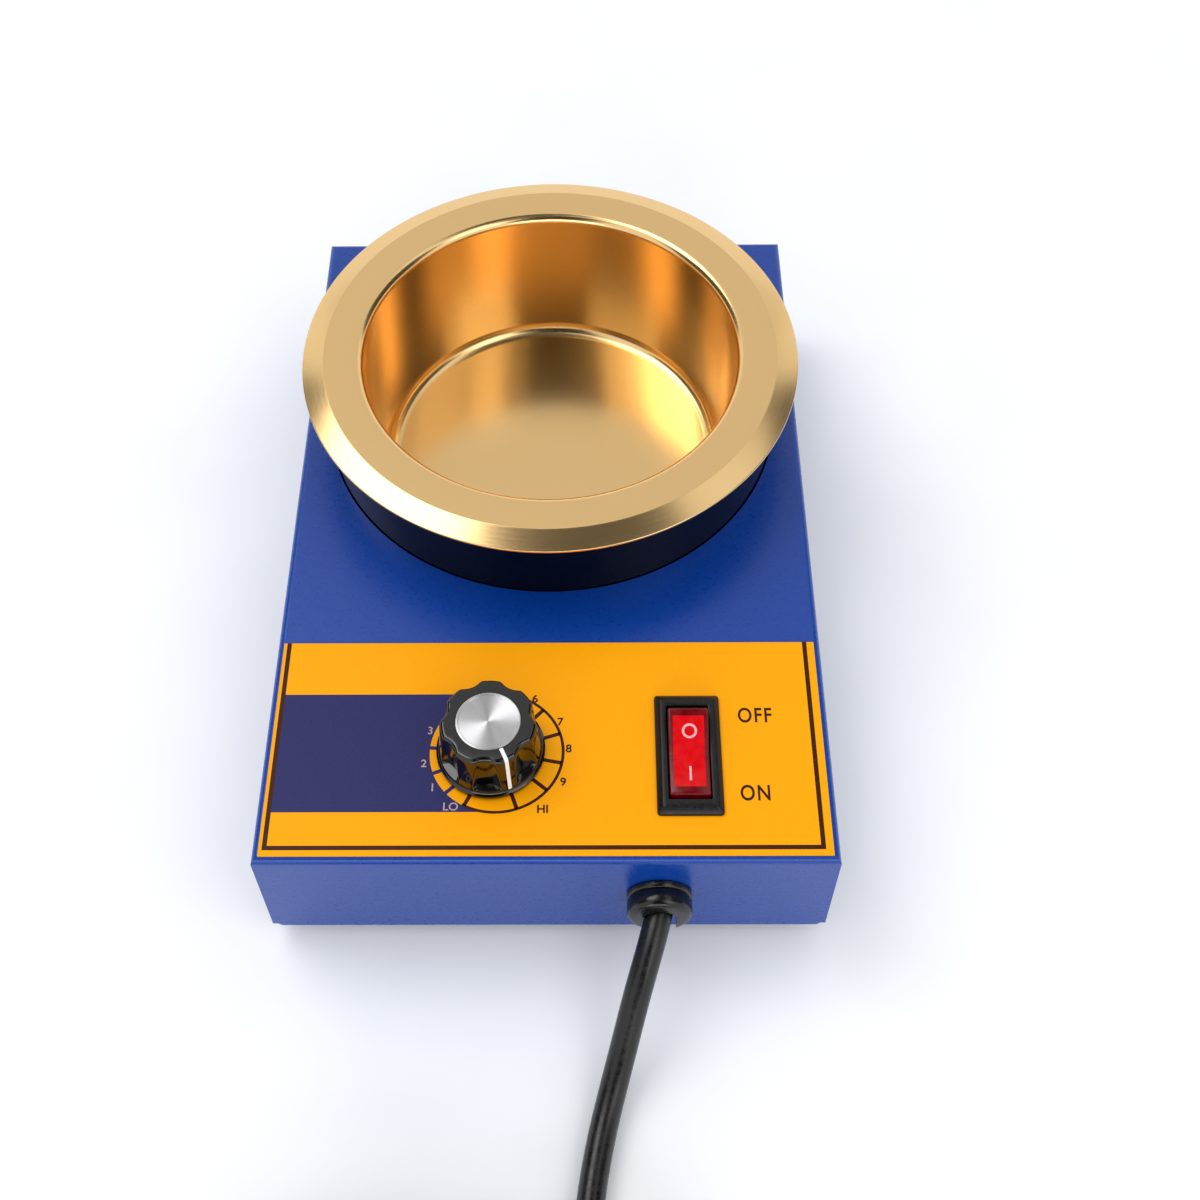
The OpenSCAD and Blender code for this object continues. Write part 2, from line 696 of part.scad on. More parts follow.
clip_t = 0.7;
module switch_housing() {
    color([0.1, 0.1, 0.1]) translate([switch_x, switch_y, 0]) difference() {
        union() {
            translate([0, 0, z_overlay]) chamfered_block(bezel_w, bezel_l, bezel_h, bezel_chamfer);
            translate([0, 0, z_overlay - switch_depth / 2])
                cube([switch_body_w, switch_body_l, switch_depth], center = true);
            for (s = [0, 180]) rotate([0, 0, s]) translate([0, switch_body_l / 2 - 0.5, z_under - 5])
                rotate([90, 0, 90]) linear_extrude(7, center = true)
                    polygon([[0, 0], [0.5, 0], [0.5 + clip_t, 4.6], [0, 4.6]]);
        }
        translate([0, 0, z_bezel]) cube([well_w, well_l, 2 * (pivot_depth + 5)], center = true);
        translate([0, 0, z_pivot]) rotate([0, 90, 0])
            cylinder(r = pivot_d / 2 + running_clear, h = well_w + 2.6, center = true);
    }
}

module switch_terminals() {
    z_body = z_overlay - switch_depth;
    color("goldenrod") for (y = [-9, 0, 9]) translate([switch_x, switch_y + y, z_body - 8]) difference() {
        translate([-3.15, -0.4, 0]) cube([6.3, 0.8, 8]);
        translate([0, through, 4]) rotate([90, 0, 0]) cylinder(d = 1.7, h = 2 * through);
    }
}

// The rocker is drawn level and turned to its ON side, its back end up
module rocker() {
    half = rocker_l / 2;
    swing = norm([half, rocker_rise]);
    middle = rocker_rise - half * tan(rocker_tilt);
    color("red") translate([switch_x, switch_y, z_pivot]) rotate([rocker_tilt, 0, 0]) {
        rotate([90, 0, 90]) linear_extrude(well_w - 2 * well_clear, center = true) intersection() {
            circle(swing);
            polygon([[-swing - 1, -2], [swing + 1, -2], [swing + 1, rocker_rise], [half, rocker_rise],
                [0, middle], [-half, rocker_rise], [-swing - 1, rocker_rise]]);
        }
        rotate([0, 90, 0]) cylinder(d = pivot_d, h = well_w + 2, center = true);
    }
}

// ---------- Circuit board ----------

module control_board() {
    color("darkgreen") difference() {
        translate([board_x0, board_y0, z_board]) cube([board_w, board_l, board_t]);
        at_board_screws() screw_hole(m3, z_board, board_t);
    }
}
module board_spacers() {
    h = z_board - z_inside;
    color("silver") at_board_screws() translate([0, 0, z_inside]) difference() {
        cylinder(d = 5.5 / cos(30), h = h, $fn = 6);
        translate([0, 0, -through]) cylinder(r = m3[0] + hole_clear, h = h + 2 * through);
    }
}
module board_screws() {
    color("silver") at_board_screws() translate([0, 0, z_base])
        screw(m3, z_board + board_t + m3[4] + 1 - z_base);
}
module board_nuts() {
    color("silver") at_board_screws() translate([0, 0, z_board + board_t]) nut(m3);
}

sink_w = 26;
sink_l = 12;
sink_h = 15;
sink_x = board_x0 + 14;
sink_y = board_y0 + board_l - 17;
module heat_sink() {
    web = 2;
    color("silver") translate([sink_x, sink_y, z_board - sink_h]) linear_extrude(sink_h) {
        square([sink_w, web]);
        for (i = [0:4]) translate([i * (sink_w - 1.2) / 4, 0]) square([1.2, sink_l]);
    }
}
module triac() {
    color([0.12, 0.12, 0.12]) translate([sink_x + sink_w / 2, sink_y, z_board]) {
        translate([-5, -4.4, -12]) cube([10, 4.4, 9]);
        for (x = [-2.54, 0, 2.54]) translate([x - 0.4, -2.6, -3]) cube([0.8, 0.5, 3]);
    }
}
module film_capacitor() {
    color("gold") translate([board_x0 + 9, board_y0 + 9, z_board - 14]) cube([18, 8.5, 14]);
}
module choke() {
    color("sienna") translate([board_x0 + board_w - 14, board_y0 + 14.5, z_board - 8]) rotate_extrude()
        translate([6, 4]) circle(4, $fn = 24);
}
module terminal_block() {
    color("seagreen") translate([board_x0 + board_w - 13, board_y0 + 25, z_board - 10]) difference() {
        cube([9, 15, 10]);
        for (y = [2.5, 7.5, 12.5]) translate([-through, y, 3.5]) rotate([0, 90, 0]) cylinder(d = 3, h = 7);
    }
}

module earth_screw() {
    color("silver") translate([earth_x, earth_y, z_base]) screw(m4, base_t + 0.8 + m4[4] + 1);
}
module earth_tag() {
    color("goldenrod") translate([earth_x, earth_y, z_inside]) linear_extrude(0.8) difference() {
        union() {
            circle(4.2);
            translate([-2, -11]) square([4, 11]);
        }
        circle(m4[0] + hole_clear);
    }
}
module earth_nut() {
    color("silver") translate([earth_x, earth_y, z_inside + 0.8]) nut(m4);
}

// ---------- Cord ----------

// The strain relief's snap-in bush. Its axis runs along Y, and its head has a slot for the drooping cord.
head_round = 1.6;
slot_depth = 4.5;
module strain_relief() {
    r = relief_head_d / 2;
    color([0.08, 0.08, 0.08]) translate([relief_x, front_y, relief_z]) rotate([90, 0, 0]) difference() {
        union() {
            rotate_extrude() {
                square([r, relief_head_t - head_round]);
                square([r - head_round, relief_head_t]);
                translate([r - head_round, relief_head_t - head_round]) circle(head_round);
            }
            translate([0, 0, -sheet_t]) cylinder(d = relief_neck_d, h = sheet_t);
            translate([0, 0, -sheet_t - 3]) cylinder(r1 = relief_neck_d / 2 - 0.8, r2 = relief_neck_d / 2 + 0.7, h = 3);
            translate([0, 0, -sheet_t - 8]) cylinder(r1 = relief_neck_d / 2 - 1.8, r2 = relief_neck_d / 2 - 0.8, h = 5);
        }
        translate([0, 0, relief_head_t - slot_depth]) {
            cylinder(d = relief_slot_w, h = slot_depth + through);
            translate([-relief_slot_w / 2, -2 * r, 0]) cube([relief_slot_w, 2 * r, slot_depth + through]);
        }
    }
}

module power_cord() {
    color([0.1, 0.1, 0.1]) tube(cord_route, cord_r, 10);
}
module cord_tail() {
    color([0.1, 0.1, 0.1]) tube(tail_route, cord_r, 10);
}
module cord_coil() {
    color([0.1, 0.1, 0.1]) translate([coil_x, coil_y, tie_t]) rotate_extrude()
        translate([coil_in_r, 0]) square([coil_out_r - coil_in_r, coil_h]);
}
module coil_tie() {
    wide = 12;
    color("gray") translate([coil_x, coil_y, 0]) intersection() {
        difference() {
            cylinder(r = coil_out_r + tie_t, h = coil_h + 2 * tie_t);
            translate([0, 0, -through]) cylinder(r = coil_in_r - tie_t, h = coil_h + 2 * tie_t + 2 * through);
            translate([0, 0, tie_t]) difference() {
                cylinder(r = coil_out_r, h = coil_h);
                translate([0, 0, -through]) cylinder(r = coil_in_r, h = coil_h + 2 * through);
            }
        }
        rotate([0, 0, 200]) translate([0, -wide / 2, 0]) cube([2 * coil_out_r, wide, 3 * coil_h]);
    }
}

plug_relief_l = 24;
plug_grip_l = 30;
plug_face_l = 9;
plug_w = 26;
plug_h = 22;
module plug_body() {
    y_grip = plug_entry_y - plug_relief_l;
    y_face = y_grip - plug_grip_l;
    color([0.1, 0.1, 0.1]) translate([plug_x, 0, 0]) {
        translate([0, plug_entry_y, plug_h / 2]) rotate([90, 0, 0])
            cylinder(r1 = cord_r + 0.8, r2 = cord_r + 2.6, h = plug_relief_l);
        intersection() {
            linear_extrude(plug_h) polygon([[-7, y_grip], [7, y_grip], [plug_w / 2, y_face], [-plug_w / 2, y_face]]);
            rotate([90, 0, 90]) linear_extrude(plug_w, center = true)
                polygon([[y_grip, 6], [y_grip, plug_h - 6], [y_face, plug_h], [y_face, 0]]);
        }
        translate([0, y_face, plug_h / 2]) rotate([90, 0, 0]) linear_extrude(plug_face_l)
            rounded_rect(plug_w, plug_h, 4);
    }
}
blade_pitch = 12.7;
blade_l = 16;
pin_spread = 11.9;     // from the blades to the earth pin
earth_pin_d = 4.8;
earth_pin_l = 19;
module plug_pins() {
    y_face = plug_entry_y - plug_relief_l - plug_grip_l - plug_face_l;
    color("goldenrod") translate([plug_x, y_face, 0]) {
        for (x = [-1, 1]) translate([x * blade_pitch / 2 - 0.75, -blade_l, plug_h / 2 - pin_spread / 2 - 3.15])
            cube([1.5, blade_l, 6.3]);
        translate([0, 0, plug_h / 2 + pin_spread / 2]) rotate([90, 0, 0]) cylinder(d = earth_pin_d, h = earth_pin_l);
    }
}

cover();
base_plate();
base_screws();
foot_front_left();
foot_front_right();
foot_rear_left();
foot_rear_right();
foot_screws();
foot_nuts();
heater_housing();
housing_spacers();
housing_screws();
housing_nuts();
insulation_disc();
insulation_sleeve();
band_heater();
clamp_screw();
clamp_nut();
crucible();
panel_overlay();
potentiometer();
potentiometer_washer();
potentiometer_nut();
control_shaft();
knob_body();
knob_inlay();
knob_pointer();
knob_set_screw();
switch_housing();
switch_terminals();
rocker();
control_board();
board_spacers();
board_screws();
board_nuts();
heat_sink();
triac();
film_capacitor();
choke();
terminal_block();
earth_screw();
earth_tag();
earth_nut();
strain_relief();
power_cord();
cord_coil();
cord_tail();
coil_tie();
plug_body();
plug_pins();
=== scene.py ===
"""A bench-top solder pot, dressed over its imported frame."""
import json
import math

import bmesh
import bpy
from mathutils import Matrix, Vector


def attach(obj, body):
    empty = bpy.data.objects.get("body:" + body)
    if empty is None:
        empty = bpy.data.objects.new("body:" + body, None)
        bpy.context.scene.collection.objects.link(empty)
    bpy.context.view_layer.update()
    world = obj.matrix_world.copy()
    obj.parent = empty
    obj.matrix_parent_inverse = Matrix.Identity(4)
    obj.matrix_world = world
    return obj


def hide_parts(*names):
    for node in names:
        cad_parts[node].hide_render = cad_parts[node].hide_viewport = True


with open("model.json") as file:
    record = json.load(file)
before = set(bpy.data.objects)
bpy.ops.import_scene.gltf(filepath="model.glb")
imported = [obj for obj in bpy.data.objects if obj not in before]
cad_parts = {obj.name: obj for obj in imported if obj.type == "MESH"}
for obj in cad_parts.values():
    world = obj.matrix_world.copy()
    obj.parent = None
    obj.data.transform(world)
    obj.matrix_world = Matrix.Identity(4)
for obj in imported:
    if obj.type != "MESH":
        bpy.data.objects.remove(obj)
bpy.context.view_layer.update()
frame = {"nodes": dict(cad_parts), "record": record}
nodes = frame["nodes"]

# ---------- Places, in millimetres, as the frame has them ----------

MM = 0.001
CRUCIBLE = (0.0, 34.8)
FLANGE_TOP = 67.6
PANEL_FACE = 42.3
DIAL = (-12.1, -73.26)
KNOB = (-13.4, -73.2)
KNOB_FOOT = 42.8
SWITCH = (33.8, -74.25)
BEZEL_FACE = 44.3
ROCKER_PIN = 40.4
BUSH = (26.6, -103.5, 24.5)
COIL = (-32.0, -218.0)
PLUG = (46.0, -252.0, 11.0)


def put_in_scene(name, data):
    """A new object that shows some data."""
    thing = bpy.data.objects.new(name, data)
    bpy.context.scene.collection.objects.link(thing)
    return thing


# ---------- Camera ----------

def add_camera():
    """Looks down on the pot from in front, panned and rolled by a hair. Metres and radians."""
    place = (0.0103, -0.26305, 0.3881)
    pan, down, roll = 0.012, 0.927, -0.013
    data = bpy.data.cameras.new("camera")
    data.sensor_width = 36
    data.lens = 48.95
    data.shift_x = 0.0187
    data.shift_y = -0.0677
    data.clip_start = 0.01
    camera = put_in_scene("camera", data)
    tilt = Matrix.Rotation(math.pi / 2 - down, 4, "X")
    heading = Matrix.Rotation(pan, 4, "Z") @ tilt @ Matrix.Rotation(roll, 4, "Z")
    camera.matrix_world = Matrix.Translation(place) @ heading
    bpy.context.scene.camera = camera


add_camera()


# ---------- Shared mesh tools ----------

def new_object(name, mesh, smooth):
    """An object from a mesh, with its points merged and its faces turned outwards."""
    bm = bmesh.new()
    bm.from_mesh(mesh)
    bmesh.ops.remove_doubles(bm, verts=bm.verts, dist=1e-7)
    bmesh.ops.recalc_face_normals(bm, faces=bm.faces)
    bm.to_mesh(mesh)
    bm.free()
    shade(mesh, smooth)
    return put_in_scene(name, mesh)


def new_piece(name, verts, faces, smooth):
    """An object from points in millimetres."""
    mesh = bpy.data.meshes.new(name)
    mesh.from_pydata([[c * MM for c in v] for v in verts], [], faces)
    return new_object(name, mesh, smooth)


def shade(mesh, smooth):
    """Smooth shading, with edges sharper than smooth degrees left crisp."""
    mesh.polygons.foreach_set("use_smooth", [True] * len(mesh.polygons))
    mesh.set_sharp_from_angle(angle=math.radians(smooth))


def around(centre, angle, radius):
    """The point at a direction in degrees and a distance from a centre."""
    a = math.radians(angle)
    return centre[0] + radius * math.cos(a), centre[1] + radius * math.sin(a)


def arc(centre, radius, start, end, steps):
    return [around(centre, start + (end - start) * i / steps, radius) for i in range(steps + 1)]


def skin(rings, capped=True, first=0):
    """Faces over rings of equally many points: capped at both ends, or joined back to the first ring."""
    n = len(rings[0])
    last = first + (len(rings) - 1) * n
    faces = [tuple(range(first, first + n)), tuple(range(last, last + n))] if capped else []
    for k in range(len(rings) - capped):
        a = first + k * n
        b = first + (k + 1) % len(rings) * n
        faces += [(a + i, a + (i + 1) % n, b + (i + 1) % n, b + i) for i in range(n)]
    return faces


def skinned(name, rings, smooth, capped=True):
    return new_piece(name, [p for ring in rings for p in ring], skin(rings, capped), smooth)


def filleted(points, steps):
    """Rounds the corners of an open line of (x, z, radius) points."""
    out = [points[0][:2]]
    for before, (x, z, radius), after in zip(points, points[1:-1], points[2:]):
        corner, a, b = Vector((x, z)), Vector(before[:2]), Vector(after[:2])
        u, v = (a - corner).normalized(), (b - corner).normalized()
        half = math.acos(max(-1, min(1, u.dot(v)))) / 2
        if radius < 1e-6 or abs(half - math.pi / 2) < 1e-4:
            out.append((x, z))
            continue
        reach = min(radius / math.tan(half), 0.49 * (a - corner).length, 0.49 * (b - corner).length)
        centre = corner + (u + v).normalized() * (reach / math.cos(half))
        start, end = corner + u * reach - centre, corner + v * reach - centre
        turn = start.angle_signed(end)
        for i in range(steps + 1):
            arm = start.copy()
            arm.rotate(Matrix.Rotation(-turn * i / steps, 2))
            out.append(tuple(centre + arm))
    out.append(points[-1][:2])
    return out


def revolved(name, profile, centre, steps, smooth):
    """Turns a line of (radius, height) points round a vertical axis."""
    n = len(profile)
    verts = [(*around(centre, 360 * i / steps, r), z) for i in range(steps) for r, z in profile]
    faces = []
    for i in range(steps):
        a, b = i * n, (i + 1) % steps * n
        faces += [(a + k, b + k, b + k + 1, a + k + 1) for k in range(n - 1)]
    return new_piece(name, verts, faces, smooth)


def rectangle(x0, y0, x1, y1):
    return [(x0, y0), (x1, y0), (x1, y1), (x0, y1)]


def rounded_ring(w, l, r, corner=8):
    """Points round a rectangle with round corners."""
    ring = []
    for k, (sx, sy) in enumerate(((1, 1), (-1, 1), (-1, -1), (1, -1))):
        centre = (sx * (w / 2 - r), sy * (l / 2 - r))
        ring += arc(centre, r, 90 * k, 90 * (k + 1), corner)
    return ring


def lofted(name, sections, place, smooth):
    """Skins round-cornered rectangles, each given as (width, length, corner radius, height)."""
    rings = [[place(x, y, z) for x, y in rounded_ring(w, l, r)] for w, l, r, z in sections]
    return skinned(name, rings, smooth)


def made_mesh(thing):
    """The plain mesh that an object's curve or modifiers make."""
    bpy.context.view_layer.update()
    return bpy.data.meshes.new_from_object(thing.evaluated_get(bpy.context.evaluated_depsgraph_get()))


def bevelled(piece, width, segments, angle, smooth):
    """Rounds a piece's sharp edges and keeps the result as plain mesh."""
    step = piece.modifiers.new("round", "BEVEL")
    step.width = width * MM
    step.segments = segments
    step.limit_method = "ANGLE"
    step.angle_limit = math.radians(angle)
    mesh = made_mesh(piece)
    piece.modifiers.clear()
    piece.data = mesh
    shade(mesh, smooth)
    return piece


# ---------- Finishes ----------

def screen_colour(rgb):
    """A screen colour of 0 to 255, as linear light."""
    linear = [c / 255 / 12.92 if c <= 10 else ((c / 255 + 0.055) / 1.055) ** 2.4 for c in rgb]
    return (*linear, 1.0)


def new_group(name, inputs):
    """A shader node group that gives out a mask and a normal."""
    group = bpy.data.node_groups.new(name, "ShaderNodeTree")
    for label, kind, value in inputs:
        group.interface.new_socket(label, in_out="INPUT", socket_type=kind).default_value = value
    group.interface.new_socket("Mask", in_out="OUTPUT", socket_type="NodeSocketFloat")
    group.interface.new_socket("Normal", in_out="OUTPUT", socket_type="NodeSocketVector")
    return group, group.nodes.new("NodeGroupInput"), group.nodes.new("NodeGroupOutput")


def relief(group, given, height, out):
    """Gives out a height as the group's mask, and as relief of the given depth."""
    bump = group.nodes.new("ShaderNodeBump")
    group.links.new(height, bump.inputs["Height"])
    group.links.new(given.outputs["Depth"], bump.inputs["Distance"])
    group.links.new(height, out.inputs["Mask"])
    group.links.new(bump.outputs["Normal"], out.inputs["Normal"])


def grain_group():
    """Fine mottle all over a surface."""
    group, given, out = new_group("surface_grain", [
        ("Scale", "NodeSocketFloat", 400.0),
        ("Depth", "NodeSocketFloat", 0.00002)])
    link = group.links.new
    place = group.nodes.new("ShaderNodeTexCoord")
    noise = group.nodes.new("ShaderNodeTexNoise")
    noise.inputs["Detail"].default_value = 2
    link(place.outputs["Object"], noise.inputs["Vector"])
    link(given.outputs["Scale"], noise.inputs["Scale"])
    relief(group, given, noise.outputs["Fac"], out)
    return group


def lathe_group():
    """The rings that a lathe leaves round a vertical axis."""
    group, given, out = new_group("turned_rings", [
        ("Centre", "NodeSocketVector", (0, 0, 0)),
        ("Scale", "NodeSocketFloat", 3000.0),
        ("Depth", "NodeSocketFloat", 0.00001)])
    link, node = group.links.new, group.nodes.new
    place = node("ShaderNodeTexCoord")
    shift, flat, radius = (node("ShaderNodeVectorMath") for _ in range(3))
    shift.operation = "SUBTRACT"
    flat.operation = "MULTIPLY"
    flat.inputs[1].default_value = (1, 1, 0)
    radius.operation = "LENGTH"
    parts = node("ShaderNodeSeparateXYZ")
    along = node("ShaderNodeMath")
    along.operation = "MULTIPLY_ADD"
    along.inputs[1].default_value = 1.35
    rings = node("ShaderNodeTexNoise")
    rings.noise_dimensions = "1D"
    rings.inputs["Detail"].default_value = 3
    link(place.outputs["Object"], shift.inputs[0])
    link(given.outputs["Centre"], shift.inputs[1])
    link(shift.outputs[0], flat.inputs[0])
    link(flat.outputs[0], radius.inputs[0])
    link(shift.outputs[0], parts.inputs[0])
    link(parts.outputs["Z"], along.inputs[0])
    link(radius.outputs["Value"], along.inputs[2])
    link(along.outputs[0], rings.inputs["W"])
    link(given.outputs["Scale"], rings.inputs["Scale"])
    relief(group, given, rings.outputs["Fac"], out)
    return group


GRAIN = grain_group()
LATHE = lathe_group()


def finish(name, light, dark, rough, scale, depth, sockets, axis=None):
    """Two colours and a range of roughness, mixed by grain, or by lathe rings round an axis."""
    material = bpy.data.materials.new(name)
    material.use_nodes = True
    link, node = material.node_tree.links.new, material.node_tree.nodes.new
    shader = material.node_tree.nodes["Principled BSDF"]
    effect = node("ShaderNodeGroup")
    effect.node_tree = LATHE if axis else GRAIN
    effect.inputs["Scale"].default_value = scale
    effect.inputs["Depth"].default_value = depth
    if axis:
        effect.inputs["Centre"].default_value = (axis[0] * MM, axis[1] * MM, 0)
    mask = node("ShaderNodeMapRange")
    mask.inputs["From Min"].default_value = 0.35
    mask.inputs["From Max"].default_value = 0.65
    tint = node("ShaderNodeMix")
    tint.data_type = "RGBA"
    tint.inputs["A"].default_value = screen_colour(dark)
    tint.inputs["B"].default_value = screen_colour(light)
    gloss = node("ShaderNodeMapRange")
    gloss.inputs["To Min"].default_value = rough[0]
    gloss.inputs["To Max"].default_value = rough[1]
    link(effect.outputs["Mask"], mask.inputs["Value"])
    link(mask.outputs["Result"], tint.inputs["Factor"])
    link(mask.outputs["Result"], gloss.inputs["Value"])
    link(tint.outputs["Result"], shader.inputs["Base Color"])
    link(gloss.outputs["Result"], shader.inputs["Roughness"])
    link(effect.outputs["Normal"], shader.inputs["Normal"])
    for socket, value in sockets.items():
        shader.inputs[socket].default_value = value
    return material


BLACK = (9, 9, 11)
SOFT_BLACK = (22, 22, 24)
METAL = {"Metallic": 1.0}
SPUN = {"Metallic": 1.0, "Anisotropic": 0.95, "Anisotropic Rotation": 0.25}
AXIS = {"gold_metal": CRUCIBLE, "spun_aluminium": KNOB}


def shine(level):
    return {"Specular IOR Level": level}


# Light and dark colour, roughness, grains per metre, relief in metres, other sockets
LOOKS = {
    "blue_paint": ((0, 60, 150), (0, 57, 146), (0.27, 0.3), 700, 3e-7, shine(0.5)),
    "black_enamel": ((5, 6, 11), (2, 3, 7), (0.1, 0.16), 600, 1e-6, shine(0.3)),
    "gold_metal": ((242, 206, 147), (236, 198, 137), (0.17, 0.23), 9000, 8e-7, METAL),
    "zinc_steel": ((196, 198, 200), (160, 162, 165), (0.25, 0.45), 900, 8e-6, METAL),
    "heater_steel": ((150, 148, 146), (108, 104, 104), (0.35, 0.55), 500, 1e-5, METAL),
    "insulation": ((226, 220, 206), (202, 194, 178), (0.85, 0.95), 900, 2e-4, {}),
    "yellow_film": ((252, 166, 0), (250, 162, 0), (0.34, 0.42), 2500, 2e-6, shine(0.08)),
    "knob_black": ((9, 9, 10), (4, 4, 5), (0.06, 0.12), 700, 3e-6, shine(0.7)),
    "spun_aluminium": ((226, 226, 228), (190, 191, 194), (0.3, 0.38), 14000, 2e-6, SPUN),
    "pointer_white": ((244, 244, 242), (232, 232, 228), (0.3, 0.4), 900, 1e-5, {}),
    "switch_black": (SOFT_BLACK, BLACK, (0.3, 0.42), 1600, 6e-6, shine(0.35)),
    "rocker_red": ((112, 2, 12), (88, 0, 8), (0.12, 0.2), 500, 3e-6, shine(0.4)),
    "brass": ((222, 188, 116), (208, 172, 100), (0.22, 0.3), 700, 2e-6, METAL),
    "rubber_black": (SOFT_BLACK, BLACK, (0.6, 0.75), 1200, 3e-5, {}),
    "cord_black": ((20, 19, 20), (11, 10, 11), (0.26, 0.38), 900, 1e-5, {}),
    "nylon_black": ((18, 17, 18), (10, 9, 10), (0.16, 0.28), 1400, 1e-5, {}),
    "board_green": ((20, 96, 54), (12, 74, 42), (0.25, 0.4), 300, 1e-5, {}),
    "epoxy_black": (SOFT_BLACK, BLACK, (0.5, 0.65), 1500, 2e-5, {}),
    "capacitor_yellow": ((226, 176, 40), (208, 156, 28), (0.25, 0.4), 700, 1e-5, {}),
    "copper_winding": ((176, 92, 44), (96, 44, 20), (0.25, 0.45), 1500, 1e-4, {}),
    "terminal_green": ((36, 128, 70), (24, 104, 54), (0.35, 0.5), 900, 1e-5, {}),
    "print_navy": ((45, 45, 97), (40, 40, 90), (0.34, 0.42), 2500, 2e-6, shine(0.15)),
    "print_brown": ((70, 30, 14), (56, 22, 10), (0.36, 0.45), 2500, 2e-6, shine(0.15)),
    "print_pale": ((186, 166, 162), (172, 152, 148), (0.36, 0.45), 2500, 2e-6, shine(0.15)),
    "rocker_face": ((218, 2, 10), (206, 0, 8), (0.14, 0.24), 500, 3e-6, shine(0.3)),
    "rocker_mark": ((252, 172, 176), (246, 158, 162), (0.3, 0.4), 900, 3e-6, {}),
}
FINISH = {name: finish(name, *look, axis=AXIS.get(name)) for name, look in LOOKS.items()}

for part in frame["record"]["subparts"]:
    mesh = nodes[part["node"]].data
    mesh.materials.clear()
    mesh.materials.append(FINISH[part["material_slot"]])


def fit(piece, body, slot, replaced=(), look=None):
    """Gives a new piece its finish and its body, and hides the frame's nodes that it stands for."""
    piece.data.materials.clear()
    piece.data.materials.append(FINISH[look or slot])
    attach(piece, body)
    if replaced:
        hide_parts(*replaced)
    return piece


# ---------- Power cord ----------

CORD_R = 3.25
BED = 4.05
TURN_RADII = (34.45, 40.85)
LANES = [(1, 0), (0, 0), (0, 1), (0, 2), (1, 2), (1, 1)]
LANE_ENDS = (360, 664, 968, 1272, 1406)
COIL_END = 1710
CROSSING = 56
FROM_BUSH = [
    BUSH, (26.6, -106, 24.5), (26, -110, 24.3), (24.4, -114.5, 23.3), (22.5, -119, 21.2),
    (20.9, -124, 17.7), (19.3, -129, 13.4), (17.7, -134, 9.1), (16.1, -139, 5.8), (14.5, -144, 3.8),
    (12.9, -150, 3.3), (11.4, -157, 3.3), (10.2, -164, 3.3), (9.2, -172, 3.4), (8.6, -180, 3.7),
    (8.3, -190, 4), (8.25, -201.5, 4.05), (8.25, -210, 4.05)]
TO_PLUG = [
    (-22, -177.75, 10.55), (-12, -177.75, 10.55), (-4, -177.75, 10.6), (4, -177.75, 10.7),
    (12, -177.75, 10.5), (20.8, -178.9, 9.8), (29, -182.3, 8), (36, -187.7, 5.7), (41.4, -194.8, 3.9),
    (44.8, -202.9, 3.3), (46, -211.8, 3.3), (46, -218, 3.5), (46, -226, 4.9), (46, -234, 7.8),
    (46, -241, 10.2), (46, -248, 11), PLUG]


def coil_line():
    """The coil's turns, clockwise from the right, in lanes given as (outer or inner, layer)."""
    steps = 228
    line = []
    for angle in (COIL_END * i / steps for i in range(steps + 1)):
        lane = sum(angle >= end for end in LANE_ENDS)
        crossed = max(0.0, 1 + (angle - LANE_ENDS[lane]) / CROSSING) if lane < len(LANE_ENDS) else 0.0
        part = (1 - math.cos(math.pi * crossed)) / 2
        (column, layer), (next_column, next_layer) = LANES[lane], LANES[min(lane + 1, len(LANES) - 1)]
        radius = TURN_RADII[column] + (TURN_RADII[next_column] - TURN_RADII[column]) * part
        height = BED + 2 * CORD_R * (layer + (next_layer - layer) * part)
        line.append((*around(COIL, -angle, radius), height))
    return line


def spline_point(a, b, c, d, t):
    """A point between b and c on the smooth curve through a, b, c and d."""
    square = (2 * a - 5 * b + 4 * c - d) * t * t
    cube = (3 * b - a - 3 * c + d) * t ** 3
    return 0.5 * (2 * b + (c - a) * t + square + cube)


def smooth_line(points, spacing, steps=24):
    """A smooth curve through points, resampled at an even spacing."""
    p = [Vector(q) for q in points]
    p = [2 * p[0] - p[1]] + p + [2 * p[-1] - p[-2]]
    fine = [spline_point(*four, i / steps) for four in zip(p, p[1:], p[2:], p[3:]) for i in range(steps)]
    fine.append(p[-2])
    out = [fine[0]]
    walked = 0.0
    for a, b in zip(fine, fine[1:]):
        walked += (b - a).length
        if walked >= spacing:
            out.append(b)
            walked = 0.0
    if (out[-1] - fine[-1]).length < spacing / 2:
        out.pop()
    return out + [fine[-1]]


def cord_route(spacing=2.5, easings=16):
    """Out of the bush, down to the bench, through the coil and on to the plug, with its bends eased."""
    route = smooth_line(FROM_BUSH + coil_line() + TO_PLUG, spacing)
    for _ in range(easings):
        eased = [(a + 2 * b + c) / 4 for a, b, c in zip(route[1:], route[2:], route[3:])]
        route = route[:2] + eased[:-1] + route[-2:]
    return route


def add_cord(route):
    curve = bpy.data.curves.new("mains_lead", "CURVE")
    curve.dimensions = "3D"
    curve.bevel_depth = CORD_R * MM
    curve.bevel_resolution = 5
    curve.use_fill_caps = True
    spline = curve.splines.new("POLY")
    spline.points.add(len(route) - 1)
    for point, place in zip(spline.points, route):
        point.co = (*(place * MM), 1)
    spline.use_smooth = True
    cord = put_in_scene("mains_lead", curve)
    return fit(cord, "case", "cord_black", ("power_cord", "cord_coil", "cord_tail"))


